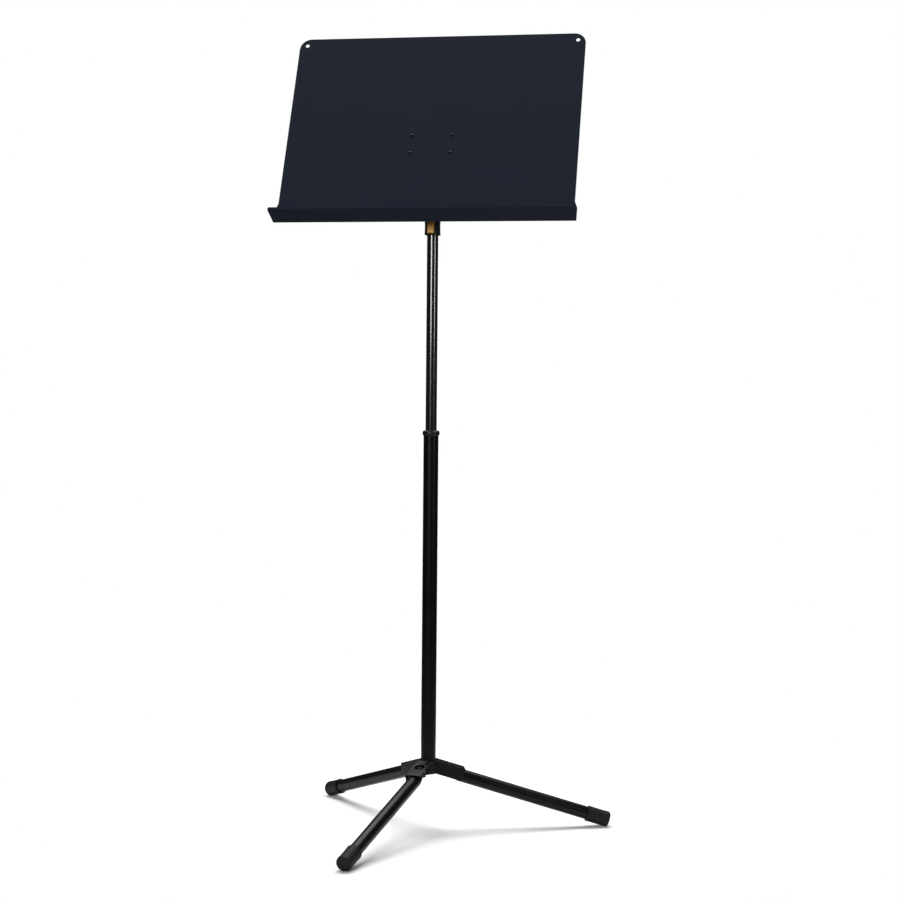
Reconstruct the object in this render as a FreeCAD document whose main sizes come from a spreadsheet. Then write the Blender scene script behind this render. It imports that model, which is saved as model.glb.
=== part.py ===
import FreeCAD, Part
import os
import Sketcher

# Orchestra music stand: folding tripod foot, telescopic post with a one-hand
# height release, and a tilting sheet-steel desk.  Millimetres, +Z up.
# Origin: on the floor, on the post's axis.  The desk faces -Y.

doc = FreeCAD.newDocument("music_stand")
sheet = doc.addObject("Spreadsheet::Sheet", "Sizes")
worked = doc.addObject("App::VarSet", "Worked")
exports = []


def sizes(title, rows):
    """Write one titled block of driving sizes into the sheet."""
    row = sizes.next_row
    sheet.set(f"A{row}", title)
    for alias, value in rows.items():
        row += 1
        sheet.set(f"A{row}", alias)
        sheet.set(f"B{row}", str(value))
        sheet.setAlias(f"B{row}", alias)
    sizes.next_row = row + 2


sizes.next_row = 1


def work_out(name, expression):
    """Keep a size that follows from the sheet, and return its name for expressions."""
    worked.addProperty("App::PropertyFloat", name, "Worked", "")
    worked.setExpression(name, expression)
    return f"Worked.{name}"


def value(expression):
    """The number that an expression has now, for drawing a sketch's first guess."""
    return float(sheet.evalExpression(expression))


# --- driving sizes -----------------------------------------------------------

sizes("Legs", {
    "leg_azimuth": 16,
    "leg_spread": 120,
    "leg_reach": 314,
    "leg_slope": 17.4,
    "leg_dia": 22.2,
    "leg_wall": 1.5,
    "cap_wall": 2.4,
    "cap_mouth": 1,
    "cap_length": 40,
    "cap_end_wall": 4,
    "cap_round": 4,
    "foot_flat": 0.7,
})
sizes("Hub", {
    "pivot_reach": 35,
    "pivot_bolt_dia": 8,
    "bolt_head_dia": 13,
    "bolt_head_tall": 4,
    "bolt_head_slope": 2,
    "bolt_key": 5,
    "bolt_key_floor": 1.6,
    "arm_sheet": 2.5,
    "arm_side_gap": 0.7,
    "arm_top_gap": 0.4,
    "arm_start": 8,
    "arm_reach": 62,
    "flange_start": 12,
    "flange_drop": 8,
    "cup_gap": 1.5,
    "boss_wall": 4.8,
    "boss_stand": 1,
    "lobe_web": 16,
    "hub_plate_thick": 2.5,
    "fold_gap": 0.6,
    "hub_screw_dia": 6,
    "hub_screw_key": 4,
    "hub_key_deep": 1.8,
    "tongue_trim": 0.1,
    "tongue_width": 16,
    "tongue_thick": 5,
    "tongue_lift": 1.4,
    "stub_start": 6,
    "stub_gap": 1.6,
    "neck_short": 1.5,
    "plug_length": 30,
    "tube_gap": 16.5,
    "washer_thick": 0.8,
    "washer_trim": 1,
})
sizes("Post", {
    "bush_wall": 1.675,
    "post_wall": 1.5,
    "post_top": 678,
    "foot_plug_tall": 24,
    "foot_plug_floor": 4,
    "hub_screw_short": 8,
    "collar_wall": 1.8,
    "collar_lap": 3.5,
    "collar_lip": 5,
    "bush_length": 30,
    "mast_dia": 19.05,
    "mast_wall": 1.2,
    "mast_foot": 506,
})
sizes("Height clutch", {
    "rod_dia": 4,
    "clutch_plug_tall": 30,
    "clutch_flange": 6,
    "spring_pocket": 20,
    "sleeve_wall": 3.3,
    "cone_fall": 1.9,
    "cone_tall": 24,
    "cone_drop": 4,
    "sleeve_over": 2,
    "sleeve_under": 4,
    "sleeve_slit": 2,
    "washer_drop": 2.4,
    "drag_thick": 2,
    "drag_past": 2,
    "rod_nut_across": 7,
    "rod_nut_tall": 3.2,
    "rod_tail": 2.8,
    "rod_collar_dia": 10,
    "rod_collar_tall": 5,
    "rod_tip": 2,
    "spring_wire": 1,
    "spring_turns": 7,
    "coil_gap": 0.4,
    "coil_room": 1.6,
})
sizes("Grip and trigger", {
    "grip_bottom": 1013.5,
    "grip_tall": 104,
    "grip_wall": 3.225,
    "grip_front": 6,
    "grip_back": 3,
    "mast_in_grip": 99.5,
    "trigger_up": 36,
    "trigger_off_mast": 4.275,
    "trigger_width": 10.8,
    "trigger_eye": 8.4,
    "trigger_pin_dia": 3,
    "pin_inset": 3.75,
    "slot_side": 0.4,
    "slot_foot": 1.2,
    "slot_top": 1.6,
    "fork_thick": 4,
    "fork_width": 7.2,
    "fork_past": 1.5,
    "fork_seat": 3,
    "window_side": 0.6,
    "window_down": 5,
    "window_up": 6,
    "grip_screw_dia": 2.8,
    "grip_screw_head": 5,
    "grip_head_tall": 1.8,
    "grip_key": 2,
    "grip_key_floor": 0.8,
    "grip_screw_in": 12,
    "grip_screw_mid": 22,
})
# The trigger's side view about its pin: out of the grip is minus, down is minus.
sizes("Trigger outline", {
    "lever_y1": -2,
    "lever_z1": 4,
    "lever_y2": -4.6,
    "lever_z2": 2,
    "lever_y3": -5.4,
    "lever_z3": -8,
    "lever_y4": -6.8,
    "lever_z4": -20,
    "lever_y5": -8,
    "lever_z5": -31.4,
    "lever_y6": -7.2,
    "lever_z6": -33.4,
    "lever_y7": -4.4,
    "lever_z7": -33.4,
    "lever_y8": -2.6,
    "lever_z8": -18,
    "lever_y9": 0,
    "lever_z9": -3.6,
})
sizes("Tilt joint", {
    "hinge_height": 1151.9,
    "hinge_back": 28,
    "hinge_up": 150,
    "head_thick": 20,
    "head_round": 24,
    "head_plug": 30,
    "head_trim": 1,
    "tilt_bolt_dia": 8,
    "tilt_bolt_past": 2,
    "hex_across": 12.8,
    "hex_head_tall": 5.2,
    "hex_nut_tall": 6.4,
    "tilt_washer": 1,
    "ear_sheet": 2.5,
    "bracket_sheet": 2,
    "bracket_wide": 84,
    "bracket_tall": 50,
    "bracket_corner": 6,
    "ear_inset": 3,
    "rivet_wide": 68,
    "rivet_tall": 34,
    "rivet_dia": 4.8,
    "rivet_head_dia": 6.8,
    "rivet_head_tall": 1.3,
    "rivet_head_slope": 1,
})
sizes("Desk", {
    "desk_tilt": 25.6,
    "desk_wide": 499.4,
    "desk_tall": 367,
    "desk_sheet": 1.0,
    "desk_corner": 20,
    "flare_out": 4.3,
    "shelf_deep": 42,
    "lip_tall": 5,
    "flare_low": 25,
    "flare_high": 37,
    "fold_round": 1.2,
    "hole_dia": 7,
    "hole_inset": 13.3,
})
sizes("Fits", {
    "press": 0.02,
    "run": 0.06,
    "slide": 0.1,
    "loose": 0.15,
    "through": 200,
})
doc.recompute()

# --- sizes that follow from them ---------------------------------------------

S = "Sizes."
leg_r = work_out("leg_r", f"{S}leg_dia / 2")
cap_r = work_out("cap_r", f"{S}leg_dia / 2 + {S}cap_wall")
mast_r = work_out("mast_r", f"{S}mast_dia / 2")
mast_bore = work_out("mast_bore", f"{S}mast_dia / 2 - {S}mast_wall")
post_bore = work_out("post_bore", f"{S}mast_dia / 2 + {S}bush_wall")
post_r = work_out("post_r", f"{S}mast_dia / 2 + {S}bush_wall + {S}post_wall")
rod_r = work_out("rod_r", f"{S}rod_dia / 2")
doc.recompute()

# The leg's axis meets the cap's end this high, so that the cap's round edge
# reaches foot_flat below the floor, where it is cut flat.
tip_z = work_out(
    "tip_z",
    f"({cap_r} - {S}cap_round) * cos({S}leg_slope) + {S}cap_round"
    f" - {S}cap_round * sin({S}leg_slope) - {S}foot_flat")
leg_z = work_out("leg_z", f"{tip_z} + {S}leg_reach * tan({S}leg_slope)")
leg_long = work_out("leg_long", f"{S}leg_reach / cos({S}leg_slope)")
tube_start = work_out("tube_start", f"({S}pivot_reach + {S}tube_gap) / cos({S}leg_slope)")
pivot_z = work_out("pivot_z", f"{leg_z} - {S}pivot_reach * tan({S}leg_slope)")
tongue_z = work_out("tongue_z", f"{pivot_z} + {S}tongue_lift")
tongue_top = work_out("tongue_top", f"{tongue_z} + {S}tongue_thick")
seat_z = work_out("seat_z", f"{tongue_top} + {S}washer_thick + 2 * {S}slide")
cup_z = work_out("cup_z", f"{seat_z} + {S}arm_sheet")
plate_top = work_out("plate_top", f"{tongue_z} - {S}washer_thick - 2 * {S}slide")
plate_z = work_out("plate_z", f"{plate_top} - {S}hub_plate_thick")
tongue_r = work_out("tongue_r", f"{leg_r} - {S}tongue_trim")
arm_rise = work_out("arm_rise", f"{leg_r} + {S}arm_top_gap + {S}arm_sheet")
arm_half = work_out("arm_half", f"{leg_r} + {S}arm_side_gap + {S}arm_sheet")
cup_r = work_out("cup_r", f"{S}bolt_head_dia / 2 + {S}cup_gap")
boss_r = work_out("boss_r", f"{post_r} + {S}boss_wall")
boss_top = work_out(
    "boss_top",
    f"{leg_z} + {arm_rise} / cos({S}leg_slope) - {boss_r} * tan({S}leg_slope)"
    f" + {S}boss_stand")
bolt_r = work_out("bolt_r", f"{S}pivot_bolt_dia / 2")
pivot_bore = work_out("pivot_bore", f"{S}pivot_bolt_dia / 2 + {S}run")
mast_top = work_out("mast_top", f"{S}grip_bottom + {S}mast_in_grip")
grip_top = work_out("grip_top", f"{S}grip_bottom + {S}grip_tall")
grip_r = work_out("grip_r", f"{mast_r} + {S}grip_wall")
trigger_out = work_out("trigger_out", f"{mast_r} + {S}trigger_off_mast")
trigger_z = work_out("trigger_z", f"{S}grip_bottom + {S}trigger_up")
cone_top = work_out("cone_top", f"{S}mast_foot - {S}clutch_flange - {S}cone_drop")
cone_z = work_out("cone_z", f"{cone_top} - {S}cone_tall")
cone_top_r = work_out("cone_top_r", f"{post_bore} - {S}sleeve_wall")
cone_foot_r = work_out("cone_foot_r", f"{cone_top_r} - {S}cone_fall")
cone_taper = work_out("cone_taper", f"{S}cone_fall / {S}cone_tall")
sleeve_z = work_out("sleeve_z", f"{cone_z} - {S}sleeve_under")
sleeve_top = work_out("sleeve_top", f"{cone_top} + {S}sleeve_over")
drag_top = work_out("drag_top", f"{sleeve_z} - {S}washer_drop")
rod_collar_z = work_out("rod_collar_z", f"{trigger_z} + {S}fork_thick / 2 + 3 * {S}slide")
tilt_r = work_out("tilt_r", f"{S}tilt_bolt_dia / 2")
ear_in = work_out("ear_in", f"{S}head_thick / 2 + {S}tilt_washer + {S}slide")
ear_out = work_out("ear_out", f"{ear_in} + {S}ear_sheet")
shelf_wide = work_out("shelf_wide", f"{S}desk_wide + 2 * {S}flare_out")
doc.recompute()


# --- helpers -----------------------------------------------------------------

Z_AXIS = "0; 0; 1"
Y_AXIS = "0; 1; 0"
X_AXIS = "1; 0; 0"


def frame(x=0, y=0, z=0, axis=Z_AXIS, angle=0):
    """A placement expression: turned about an axis, then moved."""
    return f"placement(vector({x}; {y}; {z}); rotation(vector({axis}); {angle}))"


def place(thing, *frames):
    """Bind a placement to a chain of frames, the outermost first."""
    thing.setExpression("Placement", " * ".join(frames))
    return thing


def bind(kind, name, **props):
    """Add a Part primitive whose sizes are bound to expressions."""
    thing = doc.addObject(kind, name)
    for prop, expression in props.items():
        thing.setExpression(prop, str(expression))
    return thing


def cylinder(name, radius, tall, *frames):
    return place(bind("Part::Cylinder", name, Radius=radius, Height=tall), *(frames or [frame()]))


def cone(name, foot, top, tall, *frames):
    thing = bind("Part::Cone", name, Radius1=foot, Radius2=top, Height=tall)
    return place(thing, *(frames or [frame()]))


def box(name, x0, x1, y0, y1, z0, z1, *frames):
    """A box given by its faces, in the frame that the frames make."""
    thing = bind("Part::Box", name, Length=f"({x1}) - ({x0})", Width=f"({y1}) - ({y0})",
                 Height=f"({z1}) - ({z0})")
    return place(thing, *frames, frame(x0, y0, z0))


def hexagon(name, across, tall, *frames):
    """A hexagonal prism, sized across its flats."""
    thing = bind("Part::Prism", name, Circumradius=f"({across}) / 2 / cos(30)", Height=tall)
    thing.Polygon = 6
    return place(thing, *frames)


def fuse(name, *parts):
    thing = doc.addObject("Part::MultiFuse", name)
    thing.Shapes = list(parts)
    thing.Refine = True
    return thing


def cut(name, base, *tools):
    for count, tool in enumerate(tools):
        last = count == len(tools) - 1
        thing = doc.addObject("Part::Cut", name if last else f"{name}_cut{count + 1}")
        thing.Base = base
        thing.Tool = tool
        base = thing
    return base


def common(name, base, tool):
    thing = doc.addObject("Part::Common", name)
    thing.Base = base
    thing.Tool = tool
    return thing


def group(name, *parts):
    """Identical or paired pieces that share one node as separate solids."""
    thing = doc.addObject("Part::Compound", name)
    thing.Links = list(parts)
    return thing


def hand_over(thing, label):
    """Name a finished piece and put it on the export list."""
    thing.Label = label
    exports.append(thing)
    return thing


def body(name):
    return doc.addObject("PartDesign::Body", name)


def sketch_on(owner, plane, name):
    """A sketch on one of the body's own origin planes."""
    sketch = owner.newObject("Sketcher::SketchObject", name)
    support = [item for item in owner.Origin.OriginFeatures if item.Role == plane][0]
    sketch.AttachmentSupport = (support, [""])
    sketch.MapMode = "FlatFace"
    return sketch


def fix_point(sketch, element, point, x, y):
    """Tie a sketch point to the origin with two bound distances."""
    for kind, expression in (("DistanceX", x), ("DistanceY", y)):
        index = sketch.addConstraint(
            Sketcher.Constraint(kind, -1, 1, element, point, value(expression)))
        sketch.setExpression(f"Constraints[{index}]", expression)


def outline(sketch, corners):
    """A closed outline through corners, each tied to the origin."""
    first = sketch.GeometryCount
    spots = [FreeCAD.Vector(value(x), value(y), 0) for x, y in corners]
    for index, spot in enumerate(spots):
        sketch.addGeometry(Part.LineSegment(spot, spots[(index + 1) % len(spots)]))
    for index, (x, y) in enumerate(corners):
        after = first + (index + 1) % len(corners)
        sketch.addConstraint(Sketcher.Constraint("Coincident", first + index, 2, after, 1))
        fix_point(sketch, first + index, 1, x, y)


def circle(sketch, x, y, radius):
    """A circle with its centre tied to the origin and its radius bound."""
    centre = FreeCAD.Vector(value(x), value(y), 0)
    element = sketch.addGeometry(Part.Circle(centre, FreeCAD.Vector(0, 0, 1), value(radius)))
    fix_point(sketch, element, 3, x, y)
    index = sketch.addConstraint(Sketcher.Constraint("Radius", element, value(radius)))
    sketch.setExpression(f"Constraints[{index}]", radius)


def pad(owner, sketch, name, length):
    """Thicken a sketch equally to both sides of its plane."""
    feature = owner.newObject("PartDesign::Pad", name)
    feature.Profile = sketch
    feature.Midplane = True
    feature.setExpression("Length", length)
    return feature


def pocket(owner, sketch, name):
    """Cut a sketch right through, to both sides of its plane."""
    feature = owner.newObject("PartDesign::Pocket", name)
    feature.Profile = sketch
    feature.Midplane = True
    feature.Type = 1
    return feature


def turn_round(owner, sketch, name, axis):
    """Revolve a half section about a sketch axis."""
    feature = owner.newObject("PartDesign::Revolution", name)
    feature.Profile = sketch
    feature.ReferenceAxis = (sketch, [axis])
    feature.Angle = 360
    return feature


def round_edges(owner, base, name, radius, wanted):
    """Fillet the edges of a feature that the test picks out."""
    doc.recompute()
    edges = [f"Edge{index + 1}" for index, edge in enumerate(base.Shape.Edges) if wanted(edge)]
    feature = owner.newObject("PartDesign::Fillet", name)
    feature.Base = (base, edges)
    feature.setExpression("Radius", radius)
    doc.recompute()
    return feature


def near(a, b):
    return abs(a - b) < 0.01


# --- legs: tube, knuckle and rubber cap, three times -------------------------
# Each leg is an equal steel tube with a pressed-in knuckle.  The knuckle's flat
# tongue lies in the hub and turns about an upright bolt, so a leg keeps its
# slope while it swings.

legs = {"right": 0, "rear": 1, "front": 2}


def heading(turns):
    return frame(axis=Z_AXIS, angle=f"{S}leg_azimuth + {turns} * {S}leg_spread")


sloped = frame(z=leg_z, axis=Y_AXIS, angle=f"{S}leg_slope")
lying = frame(axis=Y_AXIS, angle=90)
through_pivot = frame(x=f"{S}pivot_reach", z=f"{pivot_z} - {S}through / 2")


def along_leg(turns, start):
    """Cylinders on the leg's axis, starting this far from the post's axis."""
    return heading(turns), sloped, frame(x=start), lying


def leg_tube(side, turns):
    tube_long = f"{leg_long} - {S}cap_end_wall - {tube_start}"
    outside = cylinder(f"tube_outside_{side}", leg_r, tube_long, *along_leg(turns, tube_start))
    inside = cylinder(f"tube_inside_{side}", f"{leg_r} - {S}leg_wall", tube_long,
                      *along_leg(turns, tube_start))
    return cut(f"tube_{side}", outside, inside)


def leg_knuckle(side, turns):
    start = f"({S}pivot_reach + {S}stub_start) / cos({S}leg_slope)"
    reach = f"{tube_start} + {S}plug_length - {start}"
    stub = cylinder(f"stub_{side}", f"{leg_r} - {S}leg_wall - {S}press", reach,
                    *along_leg(turns, start))
    swept = cylinder(f"stub_clear_{side}", f"{tongue_r} + {S}stub_gap", f"{S}through",
                     heading(turns), through_pivot)
    stub = cut(f"stub_cut_{side}", stub, swept)
    eye = cylinder(f"eye_{side}", tongue_r, f"{S}tongue_thick", heading(turns),
                   frame(x=f"{S}pivot_reach", z=tongue_z))
    neck = box(f"tongue_{side}", f"{S}pivot_reach",
               f"{S}pivot_reach + {S}tube_gap - {S}neck_short",
               f"-{S}tongue_width / 2", f"{S}tongue_width / 2", tongue_z, tongue_top,
               heading(turns))
    bore = cylinder(f"eye_bore_{side}", pivot_bore, f"{S}through", heading(turns),
                    through_pivot)
    return cut(f"knuckle_{side}", fuse(f"knuckle_whole_{side}", eye, neck, stub), bore)


def leg_cap(side, turns):
    """A rubber cap, turned about the leg's axis and cut flat where it stands."""
    moulded = body(f"cap_body_{side}")
    half = sketch_on(moulded, "XZ_Plane", f"cap_section_{side}")
    bore = f"{leg_r} + {S}press"
    outline(half, [
        (f"{leg_long} - {S}cap_length", bore),
        (f"{leg_long} - {S}cap_length", f"{cap_r} - {S}cap_mouth"),
        (f"{leg_long} - {S}cap_length + {S}cap_mouth", cap_r),
        (leg_long, cap_r),
        (leg_long, "0"),
        (f"{leg_long} - {S}cap_end_wall", "0"),
        (f"{leg_long} - {S}cap_end_wall", bore),
    ])
    turned = turn_round(moulded, half, f"cap_turned_{side}", "H_Axis")
    end = value(leg_long)
    rim = value(cap_r)
    round_edges(moulded, turned, f"cap_rounded_{side}", f"{S}cap_round", lambda edge: (
        edge.Curve.TypeId == "Part::GeomCircle" and near(edge.Curve.Radius, rim)
        and near(edge.Curve.Center.x, end)))
    place(moulded, heading(turns), sloped)
    floor = box(f"floor_{side}", "0", f"{S}leg_reach + {S}through", f"-{S}through",
                f"{S}through", f"-{S}through", "0", heading(turns))
    return cut(f"cap_{side}", moulded, floor)


for side, turns in legs.items():
    hand_over(leg_tube(side, turns), f"leg_tube_{side}")
    hand_over(leg_knuckle(side, turns), f"leg_knuckle_{side}")
    hand_over(leg_cap(side, turns), f"leg_cap_{side}")

# --- hub: pressed spider above, tapped plate below ---------------------------
# Each arm is an upside-down channel over its leg.  A swinging leg's arm has a
# flange on one side only, which is the leg's stop.

flanges = {"right": (-1, 1), "rear": (1,), "front": (-1,)}


def hub_arm(side, turns):
    top = box(f"arm_top_{side}", f"{S}arm_start", f"{S}arm_reach", f"-{arm_half}", arm_half,
              f"{arm_rise} - {S}arm_sheet", arm_rise, heading(turns), sloped)
    parts = [top]
    for hand in flanges[side]:
        inner = f"{hand} * {arm_half} - {(hand + 1) // 2} * {S}arm_sheet"
        parts.append(box(f"arm_flange_{side}_{hand + 1}", f"{S}flange_start", f"{S}arm_reach",
                         inner, f"{inner} + {S}arm_sheet", f"-{S}flange_drop", arm_rise,
                         heading(turns), sloped))
    cup = cylinder(f"cup_wall_{side}", f"{cup_r} + {S}arm_sheet", f"{arm_rise} * 2",
                   heading(turns), frame(x=f"{S}pivot_reach", z=seat_z))
    below = box(f"cup_below_{side}", "0", f"{S}arm_reach", f"-{arm_half}", arm_half,
                f"-{arm_rise}", arm_rise, heading(turns), sloped)
    cup = common(f"cup_{side}", cup, below)
    return parts + [cup]


boss = cylinder("boss", boss_r, f"{boss_top} - {plate_top}", frame(z=plate_top))
arm_parts = [part for side, turns in legs.items() for part in hub_arm(side, turns)]
spider = fuse("spider_whole", boss, *arm_parts)
trims = [cylinder("post_socket", f"{post_r} + {S}press", f"{S}through", frame(z=plate_z))]
for side, turns in legs.items():
    pivot = frame(x=f"{S}pivot_reach", z=cup_z)
    trims.append(cylinder(f"cup_recess_{side}", cup_r, f"{S}through", heading(turns), pivot))
    trims.append(cylinder(f"cup_bore_{side}", pivot_bore, f"{S}through", heading(turns),
                          through_pivot))
hand_over(cut("spider", spider, *trims), "hub_spider")

# The plate's disc stays inside the inner corners of the flanges.  Beside the
# fixed leg it is cut back, to let the folded legs' stubs lie there.
disc_r = work_out(
    "disc_r",
    f"sqrt(pow({S}flange_start * cos({S}leg_slope)"
    f" - {S}flange_drop * sin({S}leg_slope); 2)"
    f" + pow({arm_half} - {S}arm_sheet; 2)) - {S}loose")
fold_line = f"({S}pivot_reach * sin({S}leg_spread) - {leg_r} - {S}fold_gap)"
plate_parts = [cylinder("plate_disc", disc_r, f"{S}hub_plate_thick", frame(z=plate_z))]
plate_holes = [cone("screw_sink", f"{S}hub_screw_dia + {S}run", f"{S}hub_screw_dia / 2 + {S}run",
                    f"{S}hub_plate_thick", frame(z=plate_z))]
for side, turns in legs.items():
    at_pivot = frame(x=f"{S}pivot_reach", z=plate_z)
    plate_parts.append(cylinder(f"lobe_{side}", tongue_r, f"{S}hub_plate_thick",
                                heading(turns), at_pivot))
    plate_parts.append(box(f"web_{side}", "0", f"{S}pivot_reach", f"-{S}lobe_web / 2",
                           f"{S}lobe_web / 2", plate_z, plate_top, heading(turns)))
    plate_holes.append(cylinder(f"tapping_{side}", f"{bolt_r} + {S}press",
                                f"{S}hub_plate_thick", heading(turns), at_pivot))
    if side != "right":
        hand = "" if side == "rear" else "-"
        low, high = sorted((f"{hand}{fold_line}", f"{hand}{S}through"), key=value)
        beside = box(f"fold_room_{side}", f"{S}pivot_reach * cos({S}leg_spread)", f"{S}through",
                     low, high, plate_z, plate_top, heading(0))
        keep = cylinder(f"lobe_kept_{side}", f"{tongue_r} + {S}fold_gap",
                        f"{S}hub_plate_thick", heading(turns), at_pivot)
        plate_holes.append(cut(f"fold_cut_{side}", beside, keep))
hand_over(cut("plate", fuse("plate_whole", *plate_parts), *plate_holes), "hub_plate")


def pivot_bolt(side, turns):
    """A button-head bolt with a hexagon socket, screwed into the hub plate."""
    shank = cylinder(f"bolt_shank_{side}", bolt_r, f"{cup_z} - {plate_z}",
                     heading(turns), frame(x=f"{S}pivot_reach", z=plate_z))
    head = cone(f"bolt_head_{side}", f"{S}bolt_head_dia / 2",
                f"{S}bolt_head_dia / 2 - {S}bolt_head_slope", f"{S}bolt_head_tall",
                heading(turns), frame(x=f"{S}pivot_reach", z=cup_z))
    key = hexagon(f"bolt_key_{side}", f"{S}bolt_key", f"{S}bolt_head_tall", heading(turns),
                  frame(x=f"{S}pivot_reach", z=f"{cup_z} + {S}bolt_key_floor"))
    return cut(f"bolt_{side}", fuse(f"bolt_whole_{side}", shank, head), key)


def pivot_washer(side, turns, level, name):
    """A friction washer between the leg's tongue and the hub."""
    ring = cylinder(f"{name}_ring_{side}", f"{tongue_r} - {S}washer_trim", f"{S}washer_thick",
                    heading(turns), frame(x=f"{S}pivot_reach", z=level))
    bore = cylinder(f"{name}_bore_{side}", pivot_bore, f"{S}washer_thick",
                    heading(turns), frame(x=f"{S}pivot_reach", z=level))
    return cut(f"{name}_{side}", ring, bore)


bolts = [pivot_bolt(side, turns) for side, turns in legs.items()]
hand_over(group("bolts", *bolts), "leg_pivot_bolts")
washers = []
for side, turns in legs.items():
    washers.append(pivot_washer(side, turns, f"{plate_top} + {S}slide", "washer_low"))
    washers.append(pivot_washer(side, turns, f"{tongue_top} + {S}slide", "washer_high"))
hand_over(group("washers", *washers), "leg_pivot_washers")

# --- post: lower tube, its foot plug and screw, and the guide collar ---------

post_z = f"({plate_top} + {S}press)"
post_tube = cut(
    "post_tube",
    cylinder("post_outside", post_r, f"{S}post_top - {post_z}", frame(z=post_z)),
    cylinder("post_inside", post_bore, f"{S}post_top - {post_z}", frame(z=post_z)))
hand_over(post_tube, "lower_tube")

foot_plug = cut(
    "foot_plug_solid",
    cylinder("foot_plug_outside", f"{post_bore} - {S}press", f"{S}foot_plug_tall",
             frame(z=post_z)),
    cylinder("foot_plug_tapping", f"{S}hub_screw_dia / 2 + {S}press",
             f"{S}foot_plug_tall - {S}foot_plug_floor", frame(z=post_z)))
hand_over(foot_plug, "foot_plug")

hub_screw = cut(
    "hub_screw_solid",
    fuse("hub_screw_whole",
         cone("hub_screw_head", f"{S}hub_screw_dia", f"{S}hub_screw_dia / 2",
              f"{S}hub_plate_thick", frame(z=plate_z)),
         cylinder("hub_screw_shank", f"{S}hub_screw_dia / 2",
                  f"{S}foot_plug_tall - {S}hub_screw_short", frame(z=plate_top))),
    hexagon("hub_screw_socket", f"{S}hub_screw_key", f"{S}hub_key_deep", frame(z=plate_z)))
hand_over(hub_screw, "hub_screw")

collar = body("collar_body")
collar_half = sketch_on(collar, "XZ_Plane", "collar_section")
mast_guide = f"{mast_r} + {S}slide"
collar_r = f"{post_r} + {S}collar_wall"
sleeve_r = f"{post_bore} - {S}press"
outline(collar_half, [
    (mast_guide, f"{S}post_top - {S}bush_length"),
    (sleeve_r, f"{S}post_top - {S}bush_length"),
    (sleeve_r, f"{S}post_top"),
    (f"{post_r} + {S}press", f"{S}post_top"),
    (f"{post_r} + {S}press", f"{S}post_top - {S}collar_lap"),
    (collar_r, f"{S}post_top - {S}collar_lap"),
    (collar_r, f"{S}post_top + {S}collar_lip"),
    (mast_guide, f"{S}post_top + {S}collar_lip"),
])
collar_turned = turn_round(collar, collar_half, "collar_turned", "V_Axis")
collar_edge = value(collar_r)
round_edges(collar, collar_turned, "collar_rounded", f"{S}collar_lip / 3", lambda edge: (
    edge.Curve.TypeId == "Part::GeomCircle" and near(edge.Curve.Radius, collar_edge)))
hand_over(collar, "tube_collar")

# --- mast: upper tube with a window for the trigger's fork -------------------

window = box("mast_window", f"-{S}fork_width / 2 - {S}window_side",
             f"{S}fork_width / 2 + {S}window_side", f"-{S}mast_dia", "0",
             f"{trigger_z} - {S}window_down", f"{trigger_z} + {S}window_up")
mast_tube = cut(
    "mast_tube",
    cylinder("mast_outside", mast_r, f"{mast_top} - {S}mast_foot", frame(z=f"{S}mast_foot")),
    cylinder("mast_inside", mast_bore, f"{mast_top} - {S}mast_foot", frame(z=f"{S}mast_foot")),
    window)
hand_over(mast_tube, "upper_tube")

# --- height clutch: a cone spreads a split sleeve inside the lower tube ------
# The spring holds the cone down in the sleeve.  The rod lifts it out.

rod_pass = f"{rod_r} + {S}slide"
plug_r = f"{mast_bore} - {S}press"
pocket_r = f"{rod_r} + {S}spring_wire + {S}coil_room"
flange_z = f"{S}mast_foot - {S}clutch_flange"
clutch_plug = cut(
    "clutch_plug_solid",
    fuse("clutch_plug_whole",
         cylinder("clutch_plug_stem", plug_r, f"{S}clutch_plug_tall", frame(z=f"{S}mast_foot")),
         cylinder("clutch_plug_flange", f"{mast_r} - {S}slide", f"{S}clutch_flange",
                  frame(z=flange_z))),
    cylinder("clutch_plug_bore", rod_pass, f"{S}through", frame(z=flange_z)),
    cylinder("clutch_plug_pocket", pocket_r, f"{S}spring_pocket + {S}clutch_flange",
             frame(z=flange_z)))
hand_over(clutch_plug, "clutch_plug")

clutch_cone = cut(
    "clutch_cone_solid",
    cone("clutch_cone_whole", cone_foot_r, cone_top_r, f"{S}cone_tall", frame(z=cone_z)),
    cylinder("clutch_cone_bore", f"{rod_r} + {S}press", f"{S}cone_tall", frame(z=cone_z)))
hand_over(clutch_cone, "clutch_cone")

sleeve_tall = f"{sleeve_top} - {sleeve_z}"
clutch_sleeve = cut(
    "clutch_sleeve_solid",
    cylinder("sleeve_outside", f"{post_bore} - {S}loose", sleeve_tall, frame(z=sleeve_z)),
    cone("sleeve_inside",
         f"{cone_foot_r} - {cone_taper} * {S}sleeve_under + {S}loose",
         f"{cone_top_r} + {cone_taper} * {S}sleeve_over + {S}loose",
         sleeve_tall, frame(z=sleeve_z)),
    box("sleeve_slit", "0", f"{post_r}", f"-{S}sleeve_slit / 2", f"{S}sleeve_slit / 2",
        sleeve_z, sleeve_top))
hand_over(clutch_sleeve, "clutch_sleeve")

on_rod = f"{rod_r} + {S}press"
drag_z = f"{drag_top} - {S}drag_thick"
drag_washer = cut(
    "drag_washer_solid",
    cylinder("drag_washer_disc", f"{cone_foot_r} + {S}drag_past", f"{S}drag_thick",
             frame(z=drag_z)),
    cylinder("drag_washer_bore", on_rod, f"{S}drag_thick", frame(z=drag_z)))
hand_over(drag_washer, "clutch_washer")

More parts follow.
